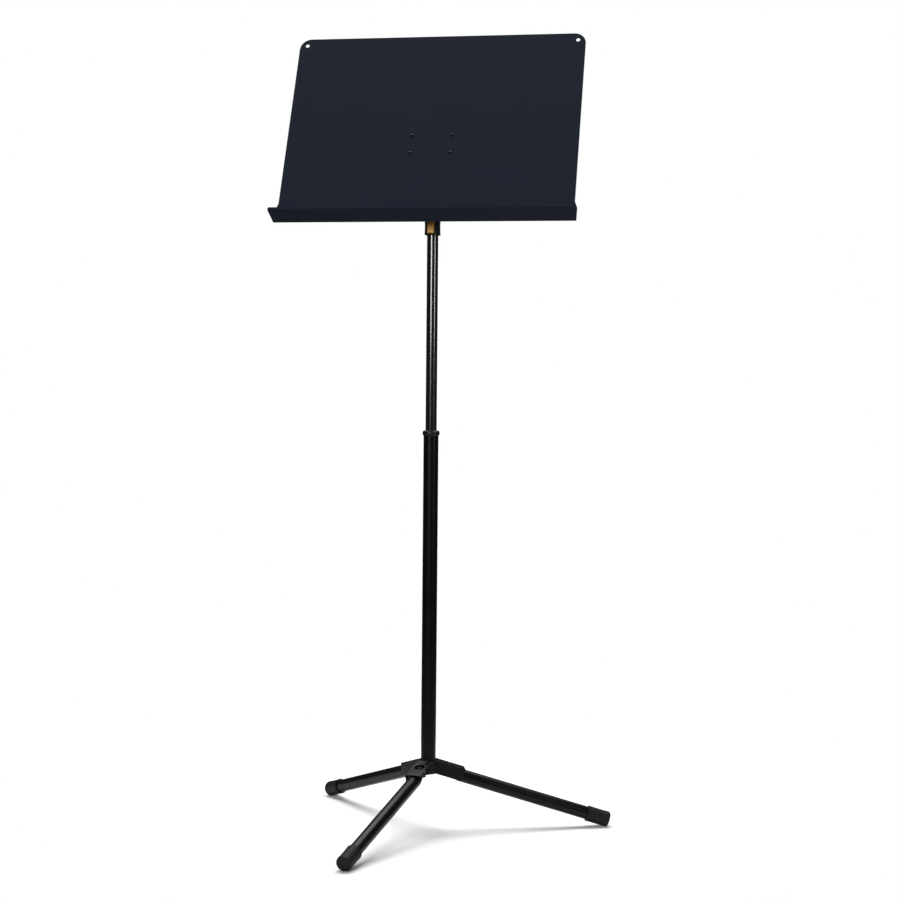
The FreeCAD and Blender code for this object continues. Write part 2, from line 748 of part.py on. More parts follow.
nut_z = f"{drag_z} - {S}rod_nut_tall"
rod_nut = cut(
    "rod_nut_solid",
    hexagon("rod_nut_whole", f"{S}rod_nut_across", f"{S}rod_nut_tall", frame(z=nut_z)),
    cylinder("rod_nut_bore", on_rod, f"{S}rod_nut_tall", frame(z=nut_z)))
hand_over(rod_nut, "release_rod_nut")

rod_z = f"{nut_z} - {S}rod_tail"
rod_top = f"{rod_collar_z} + {S}rod_collar_tall + {S}rod_tip"
hand_over(cylinder("rod", rod_r, f"{rod_top} - ({rod_z})", frame(z=rod_z)), "release_rod")

rod_collar = cut(
    "rod_collar_solid",
    cylinder("rod_collar_disc", f"{S}rod_collar_dia / 2", f"{S}rod_collar_tall",
             frame(z=rod_collar_z)),
    cylinder("rod_collar_bore", on_rod, f"{S}rod_collar_tall", frame(z=rod_collar_z)))
hand_over(rod_collar, "release_rod_collar")

coil_r = f"{rod_r} + {S}slide + {S}spring_wire / 2 + {S}coil_gap"
coil_z = f"{cone_top} + {S}slide + {S}spring_wire / 2"
coil_tall = f"{S}spring_pocket + {S}clutch_flange + {S}cone_drop - 2 * {S}slide - {S}spring_wire"
helix = bind("Part::Helix", "spring_helix", Radius=coil_r, Height=coil_tall,
             Pitch=f"({coil_tall}) / {S}spring_turns")
place(helix, frame(z=coil_z))
wire = place(bind("Part::Circle", "spring_wire_section", Radius=f"{S}spring_wire / 2"),
             frame(x=coil_r, z=coil_z, axis=X_AXIS, angle=90))
spring = doc.addObject("Part::Sweep", "spring")
doc.recompute()
spring.Sections = [wire]
spring.Spine = (helix, [f"Edge{index + 1}" for index in range(len(helix.Shape.Edges))])
spring.Solid = True
spring.Frenet = True
hand_over(spring, "clutch_spring")

# --- grip: two half shells round the mast's top, with the trigger's slot -----

grip_levels = (f"{S}grip_bottom", f"{S}grip_tall")
stadium = fuse(
    "grip_whole",
    cylinder("grip_nose", grip_r, grip_levels[1], frame(y=f"-{S}grip_front", z=grip_levels[0])),
    cylinder("grip_heel", grip_r, grip_levels[1], frame(y=f"{S}grip_back", z=grip_levels[0])),
    box("grip_cheeks", f"-{grip_r}", grip_r, f"-{S}grip_front", f"{S}grip_back",
        grip_levels[0], grip_top))
slot_half = f"({S}trigger_width / 2 + {S}slot_side)"
slot = box("trigger_slot", f"-{slot_half}", slot_half, f"-{S}through", "0",
           f"{S}grip_bottom + {S}slot_foot", f"{trigger_z} + {S}trigger_eye / 2 + {S}slot_top")
pin_long = f"2 * ({grip_r} - {S}pin_inset)"
pin_spot = frame(x=f"-({pin_long}) / 2 - {S}slide", y=f"-{trigger_out}", z=trigger_z)
pin_hole = cylinder("pin_hole", f"{S}trigger_pin_dia / 2 + {S}press",
                    f"{pin_long} + 2 * {S}slide", pin_spot, lying)
grip_cuts = [cylinder("grip_bore", f"{mast_r} + {S}press", f"{S}through",
                      frame(z=f"{S}grip_bottom - {S}loose")),
             slot, pin_hole]

screw_r = f"{S}grip_screw_dia / 2"
heel_y = f"({mast_r} + {S}grip_back + {grip_r}) / 2"
nose_y = f"-({mast_r} + {S}grip_front + {grip_r}) / 2"
screw_spots = [(heel_y, f"{S}grip_bottom + {S}grip_screw_in"),
               (heel_y, f"{grip_top} - {S}grip_screw_in"),
               (nose_y, f"{trigger_z} + {S}grip_screw_mid"),
               (nose_y, f"{grip_top} - {S}grip_screw_in")]
head_x = f"{grip_r} * 0.4"
screws = []
for number, (across, level) in enumerate(screw_spots):
    head_at = frame(x=head_x, y=across, z=level)
    start_at = frame(x=f"-{head_x}", y=across, z=level)
    shank_long = f"2 * {head_x}"
    grip_cuts.append(cylinder(f"screw_sink_{number}", f"{S}grip_screw_head / 2 + {S}slide",
                              f"{S}through", head_at, lying))
    grip_cuts.append(cylinder(f"screw_hole_{number}", f"{screw_r} + {S}press", shank_long,
                              start_at, lying))
    screws.append(cut(
        f"grip_screw_{number}",
        fuse(f"grip_screw_whole_{number}",
             cylinder(f"grip_screw_shank_{number}", screw_r, shank_long, start_at, lying),
             cylinder(f"grip_screw_head_{number}", f"{S}grip_screw_head / 2",
                      f"{S}grip_head_tall", head_at, lying)),
        hexagon(f"grip_screw_key_{number}", f"{S}grip_key", f"{S}grip_head_tall",
                frame(x=f"{head_x} + {S}grip_key_floor", y=across, z=level), lying)))

halves = {"left": (f"-{S}through", "0"), "right": ("0", f"{S}through")}
for side, (low, high) in halves.items():
    half = common(f"grip_half_{side}", stadium,
                  box(f"grip_side_{side}", low, high, f"-{S}through", f"{S}through",
                      f"{S}grip_bottom - {S}loose", f"{grip_top} + {S}loose"))
    hand_over(cut(f"grip_{side}", half, *grip_cuts), f"grip_shell_{side}")
hand_over(group("grip_screws_all", *screws), "grip_screws")
hand_over(cylinder("pin", f"{S}trigger_pin_dia / 2", pin_long,
                   frame(x=f"-({pin_long}) / 2", y=f"-{trigger_out}", z=trigger_z), lying),
          "trigger_pin")

# The trigger: a curved lever below its eye, and a fork that reaches through
# the mast's window and lifts the rod's collar.

lever = body("trigger_body")
lever_side = sketch_on(lever, "YZ_Plane", "lever_side")
outline(lever_side, [(f"{S}lever_y{corner}", f"{S}lever_z{corner}") for corner in range(1, 10)])
pad(lever, lever_side, "lever_pad", f"{S}trigger_width")
eye_side = sketch_on(lever, "YZ_Plane", "eye_side")
circle(eye_side, "0", "0", f"{S}trigger_eye / 2")
pad(lever, eye_side, "eye_pad", f"{S}trigger_width")
fork_side = sketch_on(lever, "YZ_Plane", "fork_side")
fork_half = f"{S}fork_thick / 2"
fork_end = f"{trigger_out} + {S}fork_past"
fork_seat = f"{trigger_out} - {S}fork_seat"
outline(fork_side, [("0", f"-{fork_half}"), (fork_end, f"-{fork_half}"),
                    (fork_end, fork_half), ("0", fork_half)])
pad(lever, fork_side, "fork_pad", f"{S}fork_width")
fork_gap = sketch_on(lever, "XY_Plane", "fork_gap")
gap_half = f"{rod_r} + 2 * {S}loose"
outline(fork_gap, [(f"-({gap_half})", fork_seat), (gap_half, fork_seat),
                   (gap_half, f"{S}through"), (f"-({gap_half})", f"{S}through")])
pocket(lever, fork_gap, "fork_slot")
pin_bore = sketch_on(lever, "YZ_Plane", "pin_bore")
circle(pin_bore, "0", "0", f"{S}trigger_pin_dia / 2 + {S}run")
pocket(lever, pin_bore, "pin_bore_cut")
place(lever, frame(y=f"-{trigger_out}", z=trigger_z))
hand_over(lever, "trigger")

# --- tilt joint: head on the mast, bolt, friction washers --------------------

head_z = f"{mast_top} + {S}press"
tongue_foot = f"{grip_top} + {S}slide"
head_half = f"{S}head_thick / 2"
head_round = f"{S}head_round / 2"
tilt_head = cut(
    "tilt_head_solid",
    fuse("tilt_head_whole",
         cylinder("head_plug_in", f"{mast_bore} - {S}press", f"{S}head_plug + {S}press",
                  frame(z=f"{mast_top} - {S}head_plug")),
         cylinder("head_collar", f"{mast_r}", f"{tongue_foot} + {S}head_trim - ({head_z})",
                  frame(z=head_z)),
         box("head_tongue", f"-{head_half}", head_half, f"-{head_round} + {S}head_trim",
             f"{head_round} - {S}head_trim", tongue_foot, f"{S}hinge_height"),
         cylinder("head_eye", head_round, f"{S}head_thick",
                  frame(x=f"-{head_half}", z=f"{S}hinge_height"), lying)),
    cylinder("head_bore", f"{tilt_r} + {S}press", f"{S}through",
             frame(x=f"-{S}through / 2", z=f"{S}hinge_height"), lying))
hand_over(tilt_head, "tilt_head")


def ring_on_hinge(name, outer, bore, thick, start):
    """A washer on the hinge axis, starting at this place along it."""
    spot = frame(x=start, z=f"{S}hinge_height")
    return cut(name, cylinder(f"{name}_disc", outer, thick, spot, lying),
               cylinder(f"{name}_hole", bore, thick, spot, lying))


washer_r = f"{head_round} - {S}washer_trim"
tilt_washers = [
    ring_on_hinge("tilt_washer_left", washer_r, f"{tilt_r} + {S}press", f"{S}tilt_washer",
                  f"-{head_half} - {S}tilt_washer - {S}slide / 2"),
    ring_on_hinge("tilt_washer_right", washer_r, f"{tilt_r} + {S}press", f"{S}tilt_washer",
                  f"{head_half} + {S}slide / 2"),
]
hand_over(group("tilt_washers_all", *tilt_washers), "tilt_washers")

bolt_head_x = f"{ear_out} + {S}slide"
nut_x = f"-{ear_out} - {S}slide - {S}hex_nut_tall"
tilt_bolt = fuse(
    "tilt_bolt_whole",
    hexagon("tilt_bolt_head", f"{S}hex_across", f"{S}hex_head_tall",
            frame(x=bolt_head_x, z=f"{S}hinge_height"), lying),
    cylinder("tilt_bolt_shank", tilt_r, f"{bolt_head_x} - ({nut_x}) + {S}tilt_bolt_past",
             frame(x=f"{nut_x} - {S}tilt_bolt_past", z=f"{S}hinge_height"), lying))
hand_over(tilt_bolt, "tilt_bolt")
tilt_nut = cut(
    "tilt_nut_solid",
    hexagon("tilt_nut_whole", f"{S}hex_across", f"{S}hex_nut_tall",
            frame(x=nut_x, z=f"{S}hinge_height"), lying),
    cylinder("tilt_nut_bore", f"{tilt_r} + {S}press", f"{S}hex_nut_tall",
             frame(x=nut_x, z=f"{S}hinge_height"), lying))
hand_over(tilt_nut, "tilt_nut")

# --- desk: folded sheet, riveted bracket -------------------------------------
# The desk's own frame: X across, Y out of the back, Z up the plate from the
# fold.  It leans back about the hinge.

desk_frame = (frame(z=f"{S}hinge_height", axis=X_AXIS, angle=f"-{S}desk_tilt"),
              frame(y=f"-{S}hinge_back", z=f"-{S}hinge_up"))

panel = body("desk_panel_body")
fold = sketch_on(panel, "YZ_Plane", "desk_fold")
outline(fold, [
    (f"{S}desk_sheet", "0"),
    (f"{S}desk_sheet", f"{S}desk_tall"),
    ("0", f"{S}desk_tall"),
    ("0", f"{S}desk_sheet"),
    (f"-{S}shelf_deep + {S}desk_sheet", f"{S}desk_sheet"),
    (f"-{S}shelf_deep + {S}desk_sheet", f"{S}lip_tall"),
    (f"-{S}shelf_deep", f"{S}lip_tall"),
    (f"-{S}shelf_deep", "0"),
])
pad(panel, fold, "desk_folded", shelf_wide)
sides = sketch_on(panel, "XZ_Plane", "desk_sides")
beyond = f"{shelf_wide} / 2 + {S}through"
above = f"{S}desk_tall + {S}through"
for hand in ("", "-"):
    outline(sides, [
        (f"{hand}({shelf_wide} / 2)", f"{S}flare_low"),
        (f"{hand}({S}desk_wide / 2)", f"{S}flare_high"),
        (f"{hand}({S}desk_wide / 2)", above),
        (f"{hand}({beyond})", above),
        (f"{hand}({beyond})", f"{S}flare_low"),
    ])
pocket(panel, sides, "desk_sides_cut")
holes = sketch_on(panel, "XZ_Plane", "desk_holes")
hole_x = f"{S}desk_wide / 2 - {S}hole_inset"
hole_z = f"{S}desk_tall - {S}hole_inset"
rivets_at = [(f"{x}{S}rivet_wide / 2", f"{S}hinge_up {z} {S}rivet_tall / 2")
             for x in ("", "-") for z in ("+", "-")]
for hand in ("", "-"):
    circle(holes, f"{hand}({hole_x})", hole_z, f"{S}hole_dia / 2")
for x, z in rivets_at:
    circle(holes, x, z, f"{S}rivet_dia / 2 + {S}press")
drilled = pocket(panel, holes, "desk_holes_cut")


def upright(edge, x, y, z):
    """Short edges through the sheet at this place."""
    middle = edge.CenterOfMass
    return (edge.Curve.TypeId == "Part::GeomLine" and near(abs(middle.x), x)
            and (y is None or near(middle.y, y)) and near(middle.z, z))


sheet_now = value(f"{S}desk_sheet")
cornered = round_edges(panel, drilled, "desk_corners", f"{S}desk_corner", lambda edge: upright(
    edge, value(f"{S}desk_wide / 2"), sheet_now / 2, value(f"{S}desk_tall")))


def fold_edge(edge, y, z):
    """The long edges of a fold, at this place in the side view."""
    middle = edge.CenterOfMass
    return edge.Length > value(f"{S}desk_wide") and near(middle.y, y) and near(middle.z, z)


shelf_now = value(f"{S}shelf_deep")
inner = round_edges(panel, cornered, "fold_inside", f"{S}fold_round", lambda edge: (
    fold_edge(edge, 0, sheet_now) or fold_edge(edge, sheet_now - shelf_now, sheet_now)))
outer = round_edges(panel, inner, "fold_outside", f"{S}fold_round + {S}desk_sheet",
                    lambda edge: (fold_edge(edge, sheet_now, 0)
                                  or fold_edge(edge, -shelf_now, 0)))
lip_free = f"({S}lip_tall - {S}desk_sheet - {S}fold_round)"
round_edges(panel, outer, "lip_corners", f"{lip_free} * 0.9", lambda edge: upright(
    edge, value(f"{shelf_wide} / 2"), sheet_now / 2 - shelf_now, value(f"{S}lip_tall")))
place(panel, *desk_frame)
hand_over(panel, "desk_panel")

bracket = body("bracket_body")
base_face = sketch_on(bracket, "YZ_Plane", "bracket_base")
base_back = f"{S}desk_sheet + {S}bracket_sheet"
half_tall = f"{S}bracket_tall / 2"
outline(base_face, [
    (f"{S}desk_sheet", f"{S}hinge_up - {half_tall}"),
    (base_back, f"{S}hinge_up - {half_tall}"),
    (base_back, f"{S}hinge_up + {half_tall}"),
    (f"{S}desk_sheet", f"{S}hinge_up + {half_tall}"),
])
pad(bracket, base_face, "bracket_base_pad", f"{S}bracket_wide")
ear_face = sketch_on(bracket, "YZ_Plane", "bracket_ears")
outline(ear_face, [
    (f"{S}desk_sheet", f"{S}hinge_up - {half_tall} + {S}ear_inset"),
    (f"{S}hinge_back", f"{S}hinge_up - {head_round}"),
    (f"{S}hinge_back", f"{S}hinge_up + {head_round}"),
    (f"{S}desk_sheet", f"{S}hinge_up + {half_tall} - {S}ear_inset"),
])
pad(bracket, ear_face, "bracket_ears_pad", f"2 * {ear_out}")
eye_face = sketch_on(bracket, "YZ_Plane", "bracket_eyes")
circle(eye_face, f"{S}hinge_back", f"{S}hinge_up", head_round)
pad(bracket, eye_face, "bracket_eyes_pad", f"2 * {ear_out}")
gap_face = sketch_on(bracket, "XY_Plane", "bracket_gap")
outline(gap_face, [
    (f"-{ear_in}", base_back),
    (ear_in, base_back),
    (ear_in, f"{S}hinge_back + {S}head_round"),
    (f"-{ear_in}", f"{S}hinge_back + {S}head_round"),
])
pocket(bracket, gap_face, "bracket_gap_cut")
rivet_face = sketch_on(bracket, "XZ_Plane", "bracket_rivets")
for x, z in rivets_at:
    circle(rivet_face, x, z, f"{S}rivet_dia / 2 + {S}press")
pocket(bracket, rivet_face, "bracket_rivets_cut")
bolt_face = sketch_on(bracket, "YZ_Plane", "bracket_bolt")
circle(bolt_face, f"{S}hinge_back", f"{S}hinge_up", f"{tilt_r} + {S}run")
bored = pocket(bracket, bolt_face, "bracket_bolt_cut")
round_edges(bracket, bored, "bracket_corners", f"{S}bracket_corner", lambda edge: upright(
    edge, value(f"{S}bracket_wide / 2"), None, value(f"{S}hinge_up - {half_tall}")) or upright(
    edge, value(f"{S}bracket_wide / 2"), None, value(f"{S}hinge_up + {half_tall}")))
place(bracket, *desk_frame)
hand_over(bracket, "tilt_bracket")

rivets = []
facing = frame(axis=X_AXIS, angle=-90)
rivet_rim_r = f"{S}rivet_head_dia / 2"
rivet_face_r = f"{rivet_rim_r} - {S}rivet_head_slope"
for number, (x, z) in enumerate(rivets_at):
    spot = frame(x=x, z=z)
    shank = cylinder(f"rivet_shank_{number}", f"{S}rivet_dia / 2",
                     f"{base_back} + 2 * {S}press", *desk_frame, spot, facing)
    head = cone(f"rivet_head_{number}", rivet_face_r, rivet_rim_r, f"{S}rivet_head_tall",
                *desk_frame, spot, frame(y=f"-{S}rivet_head_tall"), facing)
    tail = cone(f"rivet_tail_{number}", rivet_rim_r, rivet_face_r, f"{S}rivet_head_tall",
                *desk_frame, spot, frame(y=base_back), facing)
    rivets.append(fuse(f"rivet_{number}", shank, head, tail))
hand_over(group("rivets", *rivets), "desk_rivets")

# --- check everything, then write one file for each piece --------------------

doc.recompute()
faults = [item.Name for item in doc.Objects if {"Invalid", "Error"} & set(item.State)]
for piece in exports:
    if piece.Shape.isNull() or not piece.Shape.isValid() or not piece.Shape.Solids:
        faults.append(piece.Label)
if faults:
    raise SystemExit("faulty: " + ", ".join(faults))

os.makedirs("parts", exist_ok=True)
for piece in exports:
    piece.Shape.exportStep(f"parts/{piece.Label}.step")
print(len(exports), "pieces written")
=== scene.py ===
import math

import bmesh
import bpy
from mathutils import Matrix, Vector


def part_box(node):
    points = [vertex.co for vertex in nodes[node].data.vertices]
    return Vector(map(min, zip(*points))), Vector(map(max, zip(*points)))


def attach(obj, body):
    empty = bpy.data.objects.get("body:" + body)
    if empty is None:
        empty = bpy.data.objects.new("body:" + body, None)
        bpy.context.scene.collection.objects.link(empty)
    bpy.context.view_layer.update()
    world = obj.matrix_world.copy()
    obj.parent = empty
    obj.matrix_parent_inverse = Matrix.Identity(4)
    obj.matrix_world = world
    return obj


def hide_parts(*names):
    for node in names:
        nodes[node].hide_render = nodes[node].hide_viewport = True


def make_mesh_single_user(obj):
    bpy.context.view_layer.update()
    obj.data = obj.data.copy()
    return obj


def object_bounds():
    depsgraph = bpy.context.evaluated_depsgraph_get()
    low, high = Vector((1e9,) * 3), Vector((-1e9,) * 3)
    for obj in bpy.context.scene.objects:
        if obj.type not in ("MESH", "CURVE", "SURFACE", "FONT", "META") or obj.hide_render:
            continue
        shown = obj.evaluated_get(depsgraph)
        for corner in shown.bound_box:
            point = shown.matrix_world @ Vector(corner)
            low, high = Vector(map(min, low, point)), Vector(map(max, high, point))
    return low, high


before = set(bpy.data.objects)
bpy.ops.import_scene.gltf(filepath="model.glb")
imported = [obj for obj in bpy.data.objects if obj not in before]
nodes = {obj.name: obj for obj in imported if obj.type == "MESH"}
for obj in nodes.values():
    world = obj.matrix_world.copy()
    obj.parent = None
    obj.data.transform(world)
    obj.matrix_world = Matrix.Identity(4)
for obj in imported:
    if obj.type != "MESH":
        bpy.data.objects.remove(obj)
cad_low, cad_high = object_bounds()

# --- Leg tubes and lower tube -------------------------------------------------
# Drawn steel tube, cut to length and sprayed with satin black powder, which is
# baked on.  The film pulls up slightly in a soft orange peel as it flows out.

MM = 0.001
body_of_leg = {"right": "base", "rear": "rear_leg", "front": "front_leg"}

# Nearly all of a noise texture's values lie between these two.
FAINT = 0.3
STRONG = 0.7


def linear(code):
    """An sRGB hex colour as the linear RGBA that shaders take."""
    parts = [int(code[i:i + 2], 16) / 255 for i in (1, 3, 5)]
    return [c / 12.92 if c <= 0.04045 else ((c + 0.055) / 1.055) ** 2.4 for c in parts] + [1]


def add_node(owner, kind, inputs=None, stops=()):
    """Add a shader node: sockets are linked, values are set, and stops colour a ramp."""
    node = owner.node_tree.nodes.new(kind)
    for name, given in (inputs or {}).items():
        if isinstance(given, bpy.types.NodeSocket):
            owner.node_tree.links.new(given, node.inputs[name])
        else:
            node.inputs[name].default_value = given
    for index, (position, code) in enumerate(stops):
        node.color_ramp.elements[index].position = position
        node.color_ramp.elements[index].color = linear(code)
    return node


def new_material(name):
    """An empty node material, and the object's own coordinates in metres."""
    material = bpy.data.materials.new(name)
    material.use_nodes = True
    material.node_tree.nodes.clear()
    place = add_node(material, "ShaderNodeTexCoord").outputs["Object"]
    return material, place


def surfaced(material, finish):
    """The material with its one surface shader, which has the sockets given in finish."""
    shader = add_node(material, "ShaderNodeBsdfPrincipled", finish)
    add_node(material, "ShaderNodeOutputMaterial", {"Surface": shader.outputs["BSDF"]})
    return material


def powder_coat(name, dark, light, roughness, sheen, peel_mm, peel_depth_mm, grit_mm,
                grit_depth_mm):
    """Baked powder: orange peel under a fine grit, with a faint drift of shade and gloss.

    The drift is the film's own, over a hand's width.  Real grit is 0.1 mm or finer, so
    it is drawn coarse enough to show."""
    film_mm = 60
    gloss_drift = 0.04
    material, place = new_material(name)
    film = add_node(material, "ShaderNodeTexNoise",
                    {"Vector": place, "Scale": 1 / (film_mm * MM), "Detail": 3})
    peel = add_node(material, "ShaderNodeTexNoise",
                    {"Vector": place, "Scale": 1 / (peel_mm * MM), "Detail": 2})
    grit = add_node(material, "ShaderNodeTexNoise",
                    {"Vector": place, "Scale": 1 / (grit_mm * MM), "Detail": 1})
    shade = add_node(material, "ShaderNodeValToRGB", {"Fac": film.outputs["Fac"]},
                     stops=[(FAINT, dark), (STRONG, light)])
    gloss = add_node(material, "ShaderNodeMapRange",
                     {"Value": film.outputs["Fac"], "From Min": FAINT, "From Max": STRONG,
                      "To Min": roughness - gloss_drift, "To Max": roughness + gloss_drift})
    swell = add_node(material, "ShaderNodeBump",
                     {"Height": peel.outputs["Fac"], "Strength": 1,
                      "Distance": peel_depth_mm * MM})
    tooth = add_node(material, "ShaderNodeBump",
                     {"Height": grit.outputs["Fac"], "Strength": 1,
                      "Distance": grit_depth_mm * MM, "Normal": swell.outputs["Normal"]})
    return surfaced(material, {
        "Base Color": shade.outputs["Color"], "Roughness": gloss.outputs["Result"],
        "IOR": 1.5, "Specular IOR Level": sheen, "Normal": tooth.outputs["Normal"]})


def dress(thing, material):
    """Give a piece its one material."""
    thing.data.materials.clear()
    thing.data.materials.append(material)


# Satin: the peel breaks a highlight up softly, and the black stays deep.
satin_black_powder = powder_coat("satin_black_powder_coat_on_steel", "#06070A", "#090A0E",
                                 roughness=0.33, sheen=0.16, peel_mm=2.4, peel_depth_mm=0.03,
                                 grit_mm=0.5, grit_depth_mm=0.006)
for side in body_of_leg:
    dress(nodes[f"leg_tube_{side}"], satin_black_powder)
dress(nodes["lower_tube"], satin_black_powder)

# --- Knuckles and plugs -------------------------------------------------------
# A die-cast zinc knuckle is pressed into each leg's inner end, and its flat tongue
# lies in the hub.  The plugs in the foot of the post and in the upper tube are cast
# the same way.


def cast_zinc():
    """Black chromate over cast zinc: dull and nearly black, mottled where it flowed."""
    flow_mm = 6
    material, place = new_material("black_passivated_die_cast_zinc")
    flow = add_node(material, "ShaderNodeTexNoise",
                    {"Vector": place, "Scale": 1 / (flow_mm * MM), "Detail": 5,
                     "Distortion": 0.8})
    mottle = add_node(material, "ShaderNodeValToRGB", {"Fac": flow.outputs["Fac"]},
                      stops=[(FAINT, "#1D1E21"), (STRONG, "#292B2E")])
    skin = add_node(material, "ShaderNodeBump",
                    {"Height": flow.outputs["Fac"], "Strength": 1, "Distance": 0.05 * MM})
    return surfaced(material, {
        "Base Color": mottle.outputs["Color"], "Metallic": 1, "Roughness": 0.52,
        "Normal": skin.outputs["Normal"]})


zinc = cast_zinc()
for part in ("leg_knuckle_right", "leg_knuckle_rear", "leg_knuckle_front", "foot_plug",
             "clutch_plug"):
    dress(nodes[part], zinc)

# --- Rubber caps --------------------------------------------------------------
# Each leg stands on a push-on cap moulded in black rubber.  It has a bead round its
# mouth and a thicker sole with a round edge, and it is flat where it stands.


def own_mesh(name, bm):
    """Turn a bmesh into a smooth-shaded object with no material yet."""
    mesh = bpy.data.meshes.new(name)
    bm.normal_update()
    bm.to_mesh(mesh)
    bm.free()
    thing = bpy.data.objects.new(name, mesh)
    bpy.context.scene.collection.objects.link(thing)
    mesh.shade_smooth()
    return thing


def soften_corners(corners):
    """A closed half section whose corners, given as (along, out, radius), are arcs."""
    steps = 5
    points = []
    for index, (x, y, radius) in enumerate(corners):
        here = Vector((x, y))
        if radius <= 0:
            points.append(here)
            continue
        before = Vector(corners[index - 1][:2])
        after = Vector(corners[(index + 1) % len(corners)][:2])
        back = (before - here).normalized()
        on = (after - here).normalized()
        half = back.angle(on) / 2
        centre = here + (back + on).normalized() * (radius / math.sin(half))
        first = here + back * (radius / math.tan(half)) - centre
        last = here + on * (radius / math.tan(half)) - centre
        sweep = first.angle_signed(last)
        for step in range(steps + 1):
            points.append(centre + Matrix.Rotation(-sweep * step / steps, 2) @ first)
    return points


def bridge(bm, ring, following):
    """Close the band between two rings of vertices with four-sided faces."""
    for side in range(len(ring)):
        other = (side + 1) % len(ring)
        bm.faces.new((ring[side], ring[other], following[other], following[side]))


def turned(name, section, origin, axis, around=60, hexagon=0):
    """Spin a closed half section about an axis; rings of radius hexagon get six flats."""
    bm = bmesh.new()
    out = Vector(axis).orthogonal().normalized()
    rings = []
    for along, radius in section:
        ring = []
        for step in range(around):
            turn = 2 * math.pi * step / around
            flat = math.cos((turn + math.pi / 6) % (math.pi / 3) - math.pi / 6)
            reach = radius / flat if math.isclose(radius, hexagon, abs_tol=1e-7) else radius
            arm = Matrix.Rotation(turn, 3, axis) @ out
            ring.append(bm.verts.new(Vector(origin) + Vector(axis) * along + arm * reach))
        rings.append(ring)
    for index, ring in enumerate(rings):
        bridge(bm, ring, rings[(index + 1) % len(rings)])
    bmesh.ops.remove_doubles(bm, verts=bm.verts, dist=0.001 * MM)
    bmesh.ops.recalc_face_normals(bm, faces=bm.faces)
    return own_mesh(name, bm)


def tube_end(node):
    """The centre of a leg tube's outer end, and the tube's direction out to it."""
    spots = sorted((v.co for v in nodes[node].data.vertices), key=lambda co: co.xy.length)
    half = len(spots) // 2
    inner = sum(spots[:half], Vector()) / half
    outer = sum(spots[half:], Vector()) / (len(spots) - half)
    return outer, (outer - inner).normalized()


def moulded_rubber():
    """Moulded rubber: dull, with lighter scuffs and the mould's grain, drawn coarse."""
    grain_mm = 0.9
    scuff_mm = 14
    material, place = new_material("moulded_black_rubber")
    skin = add_node(material, "ShaderNodeTexNoise",
                    {"Vector": place, "Scale": 1 / (grain_mm * MM), "Detail": 3})
    scuffs = add_node(material, "ShaderNodeTexNoise",
                      {"Vector": place, "Scale": 1 / (scuff_mm * MM), "Detail": 4})
    wear = add_node(material, "ShaderNodeValToRGB", {"Fac": scuffs.outputs["Fac"]},
                    stops=[(0.35, "#07080A"), (0.75, "#0C0D10")])
    grain = add_node(material, "ShaderNodeBump",
                     {"Height": skin.outputs["Fac"], "Strength": 1, "Distance": 0.02 * MM})
    return surfaced(material, {
        "Base Color": wear.outputs["Color"], "Roughness": 0.6, "IOR": 1.52,
        "Specular IOR Level": 0.2, "Normal": grain.outputs["Normal"]})


rubber = moulded_rubber()
cap_bore = 11.15 * MM
cap_r = 13.5 * MM
waist_r = cap_r - 0.35 * MM
bead_long = 3.2 * MM
bead_fall = 0.4 * MM
sole_long = 8.5 * MM
sole_rise = 1.0 * MM
sole_round = 4.0 * MM
dimple_r = 6.5 * MM
dimple_floor_r = 5.6 * MM
dimple_deep = 0.6 * MM
for side, body in body_of_leg.items():
    outer, along = tube_end(f"leg_tube_{side}")
    reach = [(v.co - outer).dot(along) for v in nodes[f"leg_cap_{side}"].data.vertices]
    mouth, end = min(reach), max(reach)
    cap = turned(f"leg_cap_{side}_moulded", soften_corners([
        (mouth, cap_bore, 0),
        (mouth, cap_r, 1.0 * MM),
        (mouth + bead_long, cap_r, 0.3 * MM),
        (mouth + bead_long + bead_fall, waist_r, 0.3 * MM),
        (end - sole_long - sole_rise, waist_r, 0.5 * MM),
        (end - sole_long, cap_r, 0.5 * MM),
        (end, cap_r, sole_round),
        (end, dimple_r, 0.4 * MM),
        (end - dimple_deep, dimple_floor_r, 0.4 * MM),
        (end - dimple_deep, 0, 0),
        (0, 0, 0),
        (0, cap_bore, 0),
    ]), outer, along)
    for vertex in cap.data.vertices:
        vertex.co.z = max(vertex.co.z, cad_low.z)
    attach(cap, body)
    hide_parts(f"leg_cap_{side}")
    dress(cap, rubber)

# --- Hub: pressed spider, plate, bolts, washers and weld ----------------------
# The spider is pressed from steel plate, so every bend is round, and it is
# welded to the post and sprayed with it.  The leg bolts are black oxide, and
# each turns against a nylon washer.


def sealed(node):
    """A CAD piece's mesh with the splits along its edges merged."""
    bm = bmesh.new()
    bm.from_mesh(nodes[node].data)
    bmesh.ops.remove_doubles(bm, verts=bm.verts, dist=0.01 * MM)
    return bm


def softened(node, name, voxel_mm, passes):
    """A copy of a CAD piece with its edges worn round, as pressing or moulding does."""
    thing = own_mesh(name, sealed(node))
    remesh = thing.modifiers.new("remesh", "REMESH")
    remesh.mode = "VOXEL"
    remesh.voxel_size = voxel_mm * MM
    remesh.use_smooth_shade = True
    smooth = thing.modifiers.new("smooth", "SMOOTH")
    smooth.factor = 0.5
    smooth.iterations = passes
    thin = thing.modifiers.new("thin", "DECIMATE")
    thin.ratio = 0.3
    shaped = thing.evaluated_get(bpy.context.evaluated_depsgraph_get())
    mesh = bpy.data.meshes.new_from_object(shaped)
    thing.modifiers.clear()
    thing.data = mesh
    mesh.shade_smooth()
    return thing


